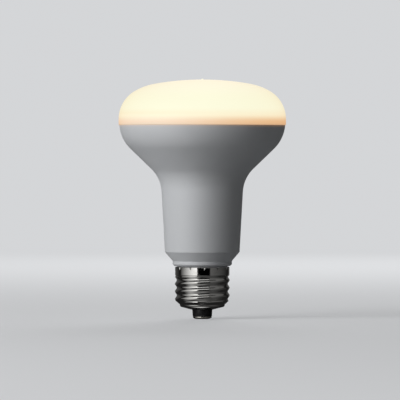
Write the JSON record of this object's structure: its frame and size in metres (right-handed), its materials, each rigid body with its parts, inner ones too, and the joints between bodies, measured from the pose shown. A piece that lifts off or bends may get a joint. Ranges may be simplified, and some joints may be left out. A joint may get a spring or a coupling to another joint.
{
  "type": "reflector bulb",
  "caption": "Reflector lamp: frosted diffuser dome on a flared white housing with a tapered neck, over a rolled lamp screw base with insulator and centre contact.",
  "frame": {"origin": "on the lamp's axis, at the end of the centre contact", "axes": "+Z along the axis from the screw base up through the diffuser's pole; +X to the right in the picture, which looks along +Y"},
  "size_m": [0.08, 0.08, 0.1149],
  "materials": {
    "frosted_diffuser": "frosted, lit from inside",
    "white_housing": "satin moulded",
    "nickel_shell": "bright nickel plate",
    "black_insulator": "glossy",
    "plated_contact": "plated, lightly worn"
  },
  "bodies": {
    "root": {"diffuser": "frosted_diffuser", "housing": "white_housing", "screw_shell": "nickel_shell", "base_insulator": "black_insulator", "centre_contact": "plated_contact"}
  },
  "joints": []
}
